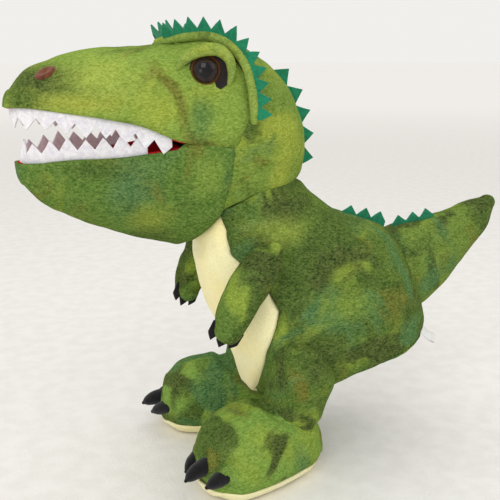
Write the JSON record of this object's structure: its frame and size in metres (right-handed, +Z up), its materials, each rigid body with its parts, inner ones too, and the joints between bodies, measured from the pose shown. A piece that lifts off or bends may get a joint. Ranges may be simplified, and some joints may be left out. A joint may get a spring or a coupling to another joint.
{
  "type": "moving mouth puppet",
  "caption": "Plush dinosaur hand puppet with a hinged mouth, felt teeth and spines, swinging arms and legs, and a sleeve for the hand under the tail.",
  "frame": {"origin": "middle of the whole length, on the plane of symmetry, at the soles' level", "axes": "+Z up, -X the way the face looks, -Y the puppet's left side"},
  "size_m": [0.3907, 0.1732, 0.3355],
  "materials": {
    "plush_green": "short-pile plush, mottled green",
    "plush_cream": "smooth short-pile cream plush",
    "lining": "red tricot mouth lining",
    "inner_lining": "thin dark tricot of sleeve and pockets",
    "stuffing": "polyester fibre filling",
    "felt_teal": "stiff teal green felt",
    "felt_white": "stiff white felt",
    "felt_black": "stiff black felt",
    "felt_brown": "brown felt",
    "felt_dark": "very dark green felt",
    "plush_pale": "light green short-pile plush",
    "eye": "polished dark brown",
    "washer": "moulded",
    "satin_white": "woven satin ribbon"
  },
  "bodies": {
    "torso": {"back_spines": "felt_teal", "belly_panel": "plush_cream", "care_label": "satin_white", "cuff": "plush_green", "hand_sleeve": "inner_lining", "left_body_panel": "plush_green", "right_body_panel": "plush_green", "torso_filling": "stuffing"},
    "neck": {"neck_skin": "plush_green"},
    "head": {"eye_washers": "washer", "finger_pocket": "inner_lining", "head_filling": "stuffing", "left_brow_roll": "plush_green", "left_brow_spines": "felt_teal", "left_crown_panel": "plush_green", "left_eye": "eye", "left_eye_patch": "felt_dark", "left_eyelid": "plush_pale", "left_face_panel": "plush_green", "left_nostril": "felt_brown", "neck_spines": "felt_teal", "right_brow_roll": "plush_green", "right_brow_spines": "felt_teal", "right_crown_panel": "plush_green", "right_eye": "eye", "right_eye_patch": "felt_dark", "right_eyelid": "plush_pale", "right_face_panel": "plush_green", "right_nostril": "felt_brown", "upper_left_teeth": "felt_white", "upper_palate": "lining", "upper_right_teeth": "felt_white"},
    "jaw": {"jaw_filling": "stuffing", "left_jaw_panel": "plush_green", "lower_left_teeth": "felt_white", "lower_palate": "lining", "lower_right_teeth": "felt_white", "right_jaw_panel": "plush_green", "thumb_pocket": "inner_lining"},
    "left_arm": {"left_arm_filling": "stuffing", "left_arm_skin": "plush_green", "left_hand_claws": "felt_black"},
    "right_arm": {"right_arm_filling": "stuffing", "right_arm_skin": "plush_green", "right_hand_claws": "felt_black"},
    "left_leg": {"left_foot_skin": "plush_green", "left_foot_sole": "plush_cream", "left_leg_filling": "stuffing", "left_leg_skin": "plush_green", "left_toe_claws": "felt_black"},
    "right_leg": {"right_foot_skin": "plush_green", "right_foot_sole": "plush_cream", "right_leg_filling": "stuffing", "right_leg_skin": "plush_green", "right_toe_claws": "felt_black"},
    "tail": {"tail_filling": "stuffing", "tail_skin": "plush_green", "tail_spines": "felt_teal"}
  },
  "joints": [
    {"name": "neck_turn", "type": "hinge", "parent": "torso", "child": "neck", "pos_m": [-0.0305, 0, 0.202], "axis": [-0.4226, 0, 0.9063], "range_deg": [-20, 20], "stiffness_Nm_per_rad": 0.8, "deforming": ["neck_skin"]},
    {"name": "neck_nod", "type": "hinge", "parent": "neck", "child": "head", "pos_m": [-0.0305, 0, 0.202], "axis": [0, 1, 0], "range_deg": [-6, 14], "stiffness_Nm_per_rad": 1.2, "deforming": ["neck_skin"]},
    {"name": "jaw_open", "type": "hinge", "parent": "head", "child": "jaw", "pos_m": [-0.0865, 0, 0.251], "axis": [0, -1, 0], "range_deg": [-6, 14], "stiffness_Nm_per_rad": 0.35},
    {"name": "left_arm_swing", "type": "hinge", "parent": "torso", "child": "left_arm", "pos_m": [-0.0325, -0.046, 0.168], "axis": [-0.3, -0.9539, 0], "range_deg": [-25, 25], "stiffness_Nm_per_rad": 0.06},
    {"name": "right_arm_swing", "type": "hinge", "parent": "torso", "child": "right_arm", "pos_m": [-0.0325, 0.046, 0.168], "axis": [-0.3, 0.9539, 0], "range_deg": [-25, 25], "stiffness_Nm_per_rad": 0.06},
    {"name": "left_leg_swing", "type": "hinge", "parent": "torso", "child": "left_leg", "pos_m": [0.0005, -0.046, 0.084], "axis": [0, 1, 0], "range_deg": [-12, 12], "stiffness_Nm_per_rad": 4},
    {"name": "right_leg_swing", "type": "hinge", "parent": "torso", "child": "right_leg", "pos_m": [0.0005, 0.046, 0.084], "axis": [0, 1, 0], "range_deg": [-12, 12], "stiffness_Nm_per_rad": 4},
    {"name": "tail_wag", "type": "hinge", "parent": "torso", "child": "tail", "pos_m": [0.1395, 0, 0.151], "axis": [-0.3665, 0, 0.9304], "range_deg": [-12, 12], "stiffness_Nm_per_rad": 0.35}
  ]
}
